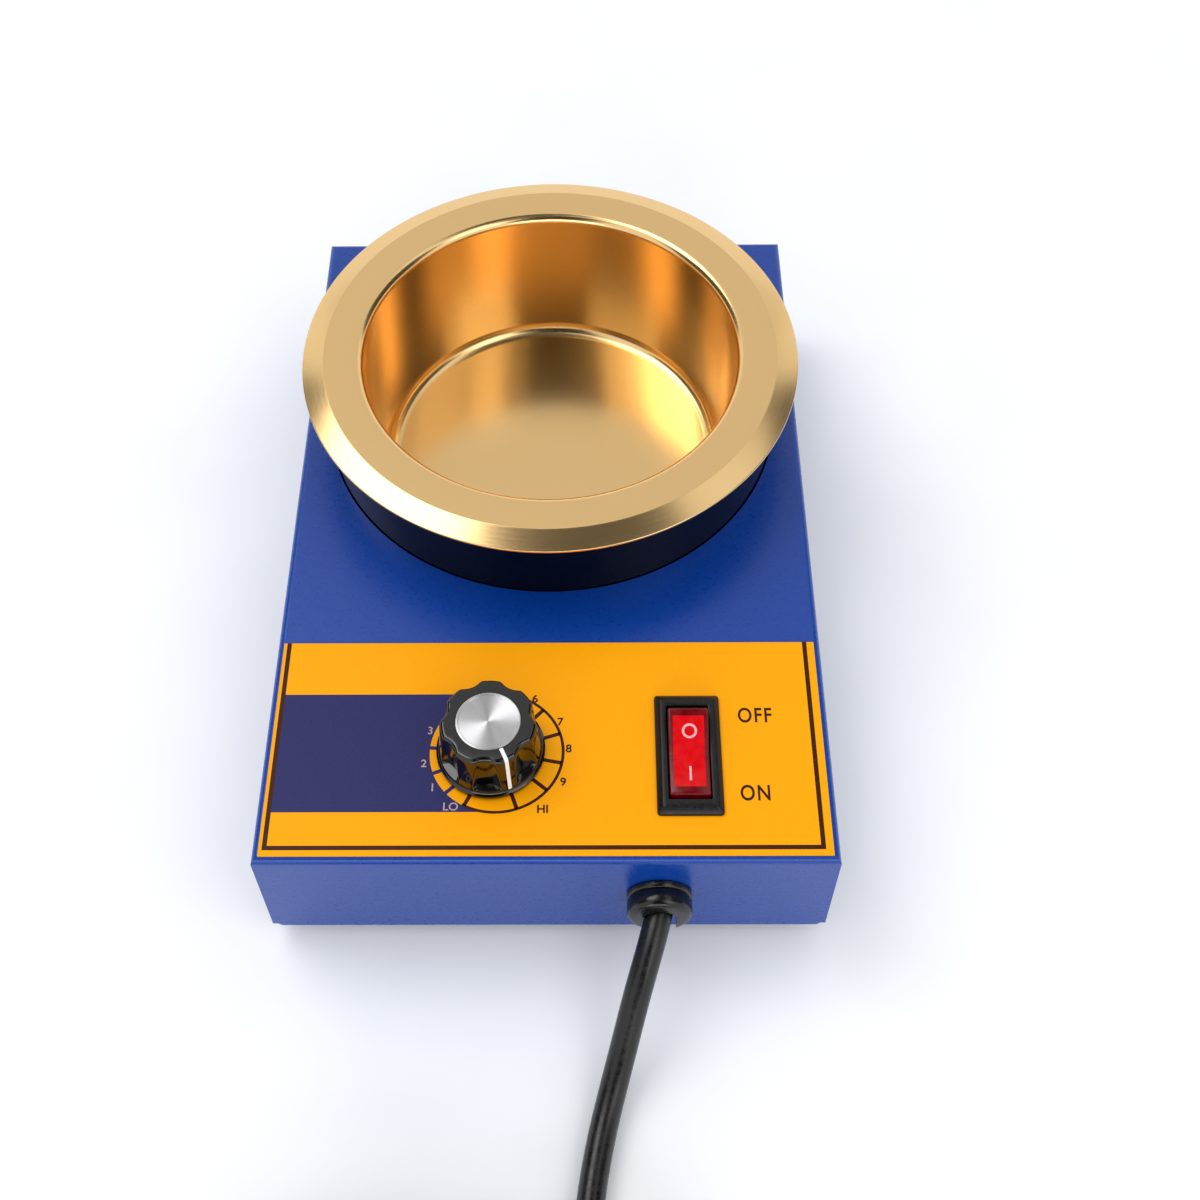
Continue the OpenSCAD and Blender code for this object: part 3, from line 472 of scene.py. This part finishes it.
def add_plug():
    """The moulded plug: a tapered relief, a waisted grip and a square face."""
    def place(x, y, z):
        return PLUG[0] + x, PLUG[1] - z, PLUG[2] + y
    taper = [(8.1, 8.1, 4.04, 0), (9.2, 9.2, 4.5, 2), (10.4, 10.4, 5.1, 12), (11.6, 11.6, 5.7, 23.8)]
    grip = [(13, 9.6, 3.5, 24), (14, 11, 3.5, 25.5), (16.6, 12.6, 3.8, 32), (21.5, 17.6, 4, 44),
            (25, 21.2, 4, 52.5), (26, 22, 4, 55)]
    face = [(26, 22, 4, 61.8), (25, 21, 3.6, 62.8), (24.4, 20.4, 3.4, 63)]
    return fit(lofted("plug_grip", taper + grip + face, place, 50), "case", "cord_black", ("plug_body",))


def add_bush():
    """The cord's bush: a flange on the front face, and a head with a slot that lets the cord hang down."""
    slot, steps = 4.0, 40

    def disc(r):
        return [around((0, 0), 360 * i / steps, r) for i in range(steps)]

    def hooked(r):
        low = math.degrees(math.asin(slot / r)) - 90
        return arc((0, 0), r, low, 180 - low, steps) + arc((0, 0), slot, 180, 0, 12)

    def rings(outline, sections):
        return [[(BUSH[0] + u, y, BUSH[2] + w) for u, w in outline(r)] for y, r in sections]

    collar = rings(disc, [(-96, 5.8), (-97, 6.4), (-100, 6.4), (-101.6, 6.3), (-101.6, 7.5),
                          (-101.8, 7.75), (-103, 7.75), (-103.3, 7.4)])
    head = rings(hooked, [(-103.2, 7.2), (-103.6, 7.5), (-104, 7.75), (-106.2, 7.75), (-107, 7.55),
                          (-107.6, 7.1), (-107.9, 6.6), (-108, 6.0)])
    verts = [p for ring in collar + head for p in ring]
    faces = skin(collar) + skin(head, first=len(collar) * steps)
    return fit(new_piece("cord_bush", verts, faces, 50), "case", "nylon_black", ("strain_relief",))


route = cord_route()
route_length = sum((b - a).length for a, b in zip(route, route[1:])) * MM
lead = add_cord(route)
plug = add_plug()
add_bush()


# ---------- Crucible ----------

def add_crucible():
    """One spun sheet: a leaning wall, a rounded foot, a rolled lip and a flange with a dropped edge."""
    floor, sheet, lean = 24.9, 0.8, math.radians(4.8)
    mouth, lip, foot_bend = 50.0, 2.5, 3.5
    flat, edge, drop = 60.4, 66.1, 1.7
    edge_sheet, crease, edge_round = 0.84, 0.9, 0.25
    wall = mouth + lip - lip * math.cos(lean)
    wall_top = FLANGE_TOP - lip + lip * math.sin(lean)
    head = wall + (FLANGE_TOP - wall_top) * math.tan(lean)
    foot = wall - (wall_top - floor) * math.tan(lean)
    out = sheet / math.cos(lean)
    inside = [(0, floor, 0), (foot, floor, foot_bend), (head, FLANGE_TOP, lip),
              (flat, FLANGE_TOP, crease), (edge, FLANGE_TOP - drop, edge_round)]
    outside = [(edge, FLANGE_TOP - drop - edge_sheet, edge_round), (flat, FLANGE_TOP - sheet, crease),
               (head + out, FLANGE_TOP - sheet, lip - sheet), (foot + out, floor - sheet, foot_bend + sheet),
               (0, floor - sheet, 0)]
    bowl = revolved("crucible_bowl", filleted(inside + outside, 10), CRUCIBLE, 256, 60)
    fit(bowl, "case", "gold_metal", ("crucible",))


add_crucible()


# ---------- Knob ----------

POINTER = -66.0
LOBES = 7
KNOB_HEIGHT = 14.2
SKIRT_TOP = 1.2
SKIRT_END = 1.75
FLUTE_FOOT = 2.5
TOP_ROUND = 1.0
KNOB_LEVELS = [0, 0.12, 0.35, 0.8, 1.15, SKIRT_TOP, 1.3, 1.5, SKIRT_END, 2.1, FLUTE_FOOT,
               2.56, 2.65, 2.75, 2.85, 3.2, 5, 7, 9, 11, 12.4, 13.2]
KNOB_LEVELS += [around((0, KNOB_HEIGHT - TOP_ROUND), a, TOP_ROUND)[1] for a in range(10, 91, 10)]


def fluted(angle, z, lobe):
    """The lobes' radius, cut by seven round flutes with softened edges."""
    reach, flute_r, run_out, soft = 15.1, 4.8, 0.35, 0.28
    pitch = 360 / LOBES
    off = math.radians((angle - POINTER) % pitch - pitch / 2)
    aside = (reach * math.sin(off)) ** 2
    if aside >= flute_r ** 2 or z <= FLUTE_FOOT:
        return lobe
    flute = reach * math.cos(off) - math.sqrt(flute_r ** 2 - aside)
    gap = (lobe - flute) / soft / 2
    if gap >= 1:
        cut = flute
    elif gap <= -1:
        cut = lobe
    else:
        cut = lobe - soft * (gap + 1) ** 2 / 2
    return lobe + (cut - lobe) * min(1, (z - FLUTE_FOOT) / run_out)


def knob_radius(angle, z):
    """The knob's radius at a direction in degrees and a height above its underside."""
    skirt, step, lobe_r, taper = 13.0, 0.7, 12.3, 13.0
    foot_round, foot_inset = 0.35, 0.25
    if z < SKIRT_TOP:
        return skirt - foot_inset * max(0, (foot_round - z) / foot_round) ** 2
    if z < SKIRT_END:
        return skirt - step * ((z - SKIRT_TOP) / (SKIRT_END - SKIRT_TOP)) ** 0.6
    r = fluted(angle, z, lobe_r - (z - SKIRT_TOP) / taper)
    into_round = z - KNOB_HEIGHT + TOP_ROUND
    if into_round > 0:
        r -= TOP_ROUND - math.sqrt(max(0, TOP_ROUND ** 2 - into_round ** 2))
    return r


def add_knob_shell():
    """The knob from its underside over its top, and down its recess and the hole for the shaft."""
    recess, recess_deep, shaft, hollow, hollow_top = 7.7, 0.6, 3.1, 7.2, 4.0
    angles = [360 * i / (LOBES * 64) for i in range(LOBES * 64)]

    def plain(r, z):
        return [(*around(KNOB, a, r), KNOB_FOOT + z) for a in angles]

    rings = [plain(hollow, 0)]
    rings += [[(*around(KNOB, a, knob_radius(a, z)), KNOB_FOOT + z) for a in angles] for z in KNOB_LEVELS]
    rings += [plain(recess + 0.02, KNOB_HEIGHT), plain(recess, KNOB_HEIGHT - recess_deep),
              plain(shaft, KNOB_HEIGHT - recess_deep), plain(shaft, hollow_top), plain(hollow, hollow_top)]
    fit(skinned("knob_shell", rings, 50, capped=False), "knob", "knob_black", ("knob_body",))


def add_knob_line():
    """The white line, over the top and down the side of one lobe."""
    half_width, thick, proud, top_edge = 0.45, 0.3, 0.05, 10.6
    line = [(7.9, KNOB_HEIGHT + 0.04)]
    line += [(knob_radius(POINTER, z) + proud, z + 0.03) for z in reversed(KNOB_LEVELS) if z > 1.8]
    out = Vector(around((0, 0), POINTER, 1))
    side = Vector(around((0, 0), POINTER + 90, half_width))
    rings = []
    for r, z in line:
        sink = thick if r < top_edge else 0
        top, deep = Vector(KNOB) + out * r, Vector(KNOB) + out * (r - thick)
        rings.append([(*(top - side), KNOB_FOOT + z), (*(top + side), KNOB_FOOT + z),
                      (*(deep + side), KNOB_FOOT + z - sink), (*(deep - side), KNOB_FOOT + z - sink)])
    fit(skinned("knob_line", rings, 60), "knob", "pointer_white", ("knob_pointer",))


def add_knob_disc():
    """The spun disc in the knob's recess, with a raised rim."""
    low, face, rim = 13.62, 14.14, 14.24
    edge, rim_inner, face_edge = 7.66, 7.1, 6.9
    line = filleted([(0, low, 0), (edge, low, 0), (edge, rim, 0.2), (rim_inner, rim, 0.1),
                     (face_edge, face, 0.1), (0, face, 0)], 4)
    disc = revolved("knob_disc", [(r, KNOB_FOOT + z) for r, z in line], KNOB, 128, 60)
    fit(disc, "knob", "spun_aluminium", ("knob_inlay",))


add_knob_shell()
add_knob_line()
add_knob_disc()


# ---------- Switch ----------

ROCKER_TILT = math.radians(9)
ROCKER_HALF = 10.6
ROCKER_RISE = 6.0
ROCKER_MIDDLE = ROCKER_RISE - ROCKER_HALF * math.tan(ROCKER_TILT)


def add_switch():
    """The switch's body, and its bezel with a sloping rim round the rocker's well."""
    def place(x, y, z):
        return SWITCH[0] + x, SWITCH[1] + y, z
    body = [(13.2, 28.4, 0.4, 25.3), (13.2, 28.4, 0.4, PANEL_FACE - 0.02)]
    bezel = [(15.7, 32, 0.8, PANEL_FACE), (15.7, 32, 0.8, 42.95), (15.4, 31.7, 0.8, 43.2),
             (13.3, 29.6, 0.6, 44.15), (12.9, 29.2, 0.5, 44.28), (10.7, 25.6, 0.4, BEZEL_FACE)]
    well = [(10.3, 25.2, 0.35, 44.2), (10.1, 25, 0.3, 43.9), (10.1, 25, 0.3, 35.5)]
    frame_piece = lofted("switch_frame", body + bezel + well, place, 35)
    fit(frame_piece, "case", "switch_black", ("switch_housing",))


def rocker_place(x, y, z):
    """From the rocker's level shape to where it rests, its back end up."""
    c, s = math.cos(ROCKER_TILT), math.sin(ROCKER_TILT)
    return SWITCH[0] + x, SWITCH[1] + c * y - s * z, ROCKER_PIN + s * y + c * z


def on_rocker(side, across, out, lift):
    """A point on the front or back half of the rocker's face, out from its middle."""
    y = side * out * math.cos(ROCKER_TILT)
    return rocker_place(across, y, ROCKER_MIDDLE + out * math.sin(ROCKER_TILT) + lift)


def add_rocker_cap():
    """The rocker: two flat halves that meet in a shallow V, over round ends."""
    swing, bottom, half_width = 12.18, -2.0, 4.8
    low, high = math.asin(bottom / swing), math.atan2(ROCKER_RISE, ROCKER_HALF)
    turns = [low + (high - low) * i / 8 for i in range(8)]
    end = [(swing * math.cos(a), swing * math.sin(a), 0) for a in turns] + [(ROCKER_HALF, ROCKER_RISE, 0.5)]
    back = [(-y, z, r) for y, z, r in reversed(end)]
    line = filleted([(0, bottom, 0)] + end + [(0, ROCKER_MIDDLE, 1.2)] + back + [(0, bottom, 0)], 5)[:-1]
    rings = [[rocker_place(x, y, z) for y, z in line] for x in (-half_width, half_width)]
    cap = bevelled(skinned("rocker_cap", rings, 40), 0.35, 3, 50, 50)
    fit(cap, "rocker", "rocker_red", ("rocker",))


def add_rocker_window():
    """The brighter window that covers both halves of the rocker's face."""
    half_width, sunk, proud = 3.75, -0.2, 0.06
    section = ((-half_width, sunk), (half_width, sunk), (half_width, proud), (-half_width, proud))
    stops = ((-1, 8.9), (-1, 0.0), (1, 9.0))
    rings = [[on_rocker(side, u, out, lift) for u, lift in section] for side, out in stops]
    fit(skinned("rocker_window", rings, 30), "rocker", "rocker_red", look="rocker_face")


def add_rocker_marks():
    """The O on the rocker's back half and the I on its front half."""
    low, high = 0.02, 0.12
    centre, inner, outer, steps = (0.2, 5.25), 1.25, 1.8, 48
    rings = []
    for lift, r in ((low, inner), (low, outer), (high, outer), (high, inner)):
        circle = [around(centre, 360 * i / steps, r) for i in range(steps)]
        rings.append([on_rocker(1, u, v, lift) for u, v in circle])
    fit(skinned("rocker_ring", rings, 60, capped=False), "rocker", "rocker_red", look="rocker_mark")
    outline = rectangle(-0.1, 3.6, 0.42, 7.3)
    rings = [[on_rocker(-1, u, v, lift) for u, v in outline] for lift in (low, high)]
    fit(skinned("rocker_bar", rings, 60), "rocker", "rocker_red", look="rocker_mark")


add_switch()
add_rocker_cap()
add_rocker_window()
add_rocker_marks()


# ---------- Printed panel ----------

FILM = 0.012
FIELD_LEVEL = PANEL_FACE + 0.014
SCALE_LEVEL = PANEL_FACE + 0.028
DIGIT_LEVEL = PANEL_FACE + 0.03
WORD_LEVEL = PANEL_FACE + 0.002


def tick(angle, start, end, width=0.95):
    """A radial line's outline on the dial."""
    out = Vector(around((0, 0), angle, 1))
    side = Vector(around((0, 0), angle + 90, width / 2))
    a, b = Vector(DIAL) + out * start, Vector(DIAL) + out * end
    return [tuple(a - side), tuple(b - side), tuple(b + side), tuple(a + side)]


def printed(name, outlines, level, look=None):
    """Flat print from closed outlines, a film's thickness high."""
    verts, faces = [], []
    for outline in outlines:
        rings = [[(x, y, z) for x, y in outline] for z in (level, level + FILM)]
        faces += skin(rings, first=len(verts))
        verts += rings[0] + rings[1]
    fit(new_piece(name, verts, faces, 30), "case", "yellow_film", look=look)


def lettered(name, words, height, weight, width, level, look):
    """One flat mesh of words, each given as (text, (x, y)), with capitals of one height."""
    cap_share, loosening = 0.70, 0.7
    whole = bmesh.new()
    for text, (x, y) in words:
        curve = bpy.data.curves.new(name, "FONT")
        curve.body = text
        curve.size = height / cap_share * MM
        curve.align_x = "CENTER"
        curve.extrude = FILM * MM / 2
        curve.offset = weight * MM
        curve.space_character = 1.0 + (1.0 - width) * loosening
        holder = put_in_scene(name, curve)
        mesh = made_mesh(holder)
        place = Matrix.Translation((x * MM, (y - height / 2) * MM, (level + FILM / 2) * MM))
        mesh.transform(place @ Matrix.Diagonal((width, 1, 1, 1)))
        whole.from_mesh(mesh)
        bpy.data.objects.remove(holder)
        bpy.data.meshes.remove(mesh)
    mesh = bpy.data.meshes.new(name)
    whole.to_mesh(mesh)
    whole.free()
    fit(new_object(name, mesh, 30), "case", "yellow_film", look=look)


def add_panel_print():
    """The brown line round three sides, and the navy field that runs up to the dial."""
    left, right, front, back, line = -65.5, 64.5, -98.7, -42.4, 1.1
    border = [(left, back), (left, front), (right, front), (right, back), (right - line, back),
              (right - line, front + line), (left + line, front + line), (left + line, back)]
    printed("panel_border", [border], PANEL_FACE, "print_brown")
    navy = rectangle(left + line, -89.1, DIAL[0], -57.3)
    printed("panel_navy_field", [navy], PANEL_FACE, "print_navy")


def add_dial_print():
    """A yellow disc, its brown ring and ticks, navy gaps on the left, and the numbers round it."""
    field, ring_inner, ring_outer, tick_start = 16.0, 15.6, 16.3, 11.5
    printed("dial_field", [arc(DIAL, field, 0, 360, 96)[:-1]], FIELD_LEVEL)
    ring = arc(DIAL, ring_outer, -119, 97, 72) + arc(DIAL, ring_inner, 97, -119, 72)
    ticks = [tick(a, tick_start, 15.9) for a in (-117, 78.5, 46, 18, -11, -40, -71)]
    printed("dial_scale", [ring] + ticks, SCALE_LEVEL, "print_brown")
    gaps = [tick(a, tick_start, 16.1) for a in (-137, -159, 176, 143.5, 111)]
    printed("dial_gaps", gaps, SCALE_LEVEL, "print_navy")
    pale = [("LO", -125.7, 17.75), ("1", -147.6, 17.6), ("2", -170, 17.5), ("3", 160, 17.2)]
    dark = [("4", 127, 17.2), ("5", 95, 17.2), ("6", 58.5, 17.2), ("7", 28.5, 17.3), ("8", 3.0, 17.3),
            ("9", -26.5, 17.9), ("HI", -53.3, 18.8)]
    lettered("dial_numbers_left", [(t, around(DIAL, a, r)) for t, a, r in pale], 2.0, 0.03, 1.0,
             DIGIT_LEVEL, "print_pale")
    lettered("dial_numbers_right", [(t, around(DIAL, a, r)) for t, a, r in dark], 2.05, 0.06, 1.0,
             DIGIT_LEVEL, "print_brown")


def add_switch_print():
    words = [("OFF", (50.25, -63.3)), ("ON", (49.2, -84.2))]
    lettered("switch_words", words, 3.95, 0.1, 0.77, WORD_LEVEL, "print_brown")


add_panel_print()
add_dial_print()
add_switch_print()


# ---------- Studio, in metres ----------

POT = (0, 0.035, 0.05)


def add_sheet(name, width, height, material):
    mesh = bpy.data.meshes.new(name)
    w, h = width / 2, height / 2
    mesh.from_pydata([(-w, -h, 0), (w, -h, 0), (w, h, 0), (-w, h, 0)], [], [(0, 1, 2, 3)])
    mesh.materials.append(material)
    sheet = put_in_scene(name, mesh)
    return sheet


def aim(thing, place, target):
    thing.location = place
    thing.rotation_euler = (Vector(target) - Vector(place)).to_track_quat("-Z", "Y").to_euler()


def add_floor():
    """A pale floor just under the feet, clear when it is seen from below."""
    width, drop = 12, 0.0002
    white = finish("floor_white", (250, 250, 250), (247, 247, 247), (0.7, 0.8), 20, 1e-5, shine(0.1))
    tree = white.node_tree
    back = tree.nodes.new("ShaderNodeNewGeometry")
    clear = tree.nodes.new("ShaderNodeBsdfTransparent")
    mix = tree.nodes.new("ShaderNodeMixShader")
    tree.links.new(back.outputs["Backfacing"], mix.inputs["Fac"])
    tree.links.new(tree.nodes["Principled BSDF"].outputs[0], mix.inputs[1])
    tree.links.new(clear.outputs[0], mix.inputs[2])
    tree.links.new(mix.outputs[0], tree.nodes["Material Output"].inputs["Surface"])
    add_sheet("floor", width, width, white).location.z = -drop


def add_card(name, place, width, height, glow):
    """A studio card, seen only in reflections, with a soft glow of its own."""
    light = {"Emission Color": (1, 0.98, 0.95, 1), "Emission Strength": glow, "Specular IOR Level": 0.0}
    card = add_sheet(name, width, height, finish(name, BLACK, BLACK, (0.8, 0.9), 20, 1e-5, light))
    aim(card, place, POT)
    card.visible_camera = False
    card.visible_diffuse = False
    card.visible_shadow = False


def add_light(name, place, target, size, energy):
    data = bpy.data.lights.new(name, "AREA")
    data.shape = "RECTANGLE"
    data.size, data.size_y = size
    data.energy = energy
    aim(put_in_scene(name, data), place, target)


def add_world():
    """A white world to the camera and in reflections, and a slightly dimmer sky for the rest."""
    world = bpy.data.worlds.new("studio")
    bpy.context.scene.world = world
    world.use_nodes = True
    world.node_tree.nodes.clear()
    link, node = world.node_tree.links.new, world.node_tree.nodes.new
    path = node("ShaderNodeLightPath")
    seen = node("ShaderNodeMath")
    seen.operation = "MAXIMUM"
    passed = node("ShaderNodeMath")
    passed.operation = "MAXIMUM"
    sky = node("ShaderNodeBackground")
    sky.inputs["Color"].default_value = (0.93, 0.96, 1, 1)
    sky.inputs["Strength"].default_value = 0.86
    white = node("ShaderNodeBackground")
    white.inputs["Color"].default_value = (1, 1, 1, 1)
    white.inputs["Strength"].default_value = 1.0
    mix = node("ShaderNodeMixShader")
    out = node("ShaderNodeOutputWorld")
    link(path.outputs["Is Camera Ray"], seen.inputs[0])
    link(path.outputs["Is Glossy Ray"], seen.inputs[1])
    link(seen.outputs[0], passed.inputs[0])
    link(path.outputs["Is Transmission Ray"], passed.inputs[1])
    link(passed.outputs[0], mix.inputs["Fac"])
    link(sky.outputs[0], mix.inputs[1])
    link(white.outputs[0], mix.inputs[2])
    link(mix.outputs[0], out.inputs["Surface"])


add_floor()
add_world()
add_light("key", (-0.62, 0.3, 1.25), POT, (0.7, 0.8), 5)
add_light("fill", (0.62, -0.62, 1.0), POT, (0.6, 0.7), 1.8)
add_light("front", (-0.1, -1.3, 0.5), (0, -0.2, 0), (1.2, 0.3), 4)
add_card("back_card", (0, 0.98, 1.05), 1.7, 1.1, 0.76)
add_card("top_card", (0.1, 0.1, 1.5), 0.8, 0.8, 0.08)
add_card("front_card", (0, -0.95, 1.1), 1.05, 1.5, 0.02)
add_card("left_card", (-1.0, 0.25, 0.55), 1.1, 0.8, 0.06)
add_card("right_card", (1.0, 0.25, 0.6), 1.1, 0.9, 0.06)

bpy.context.scene.view_settings.view_transform = "Standard"
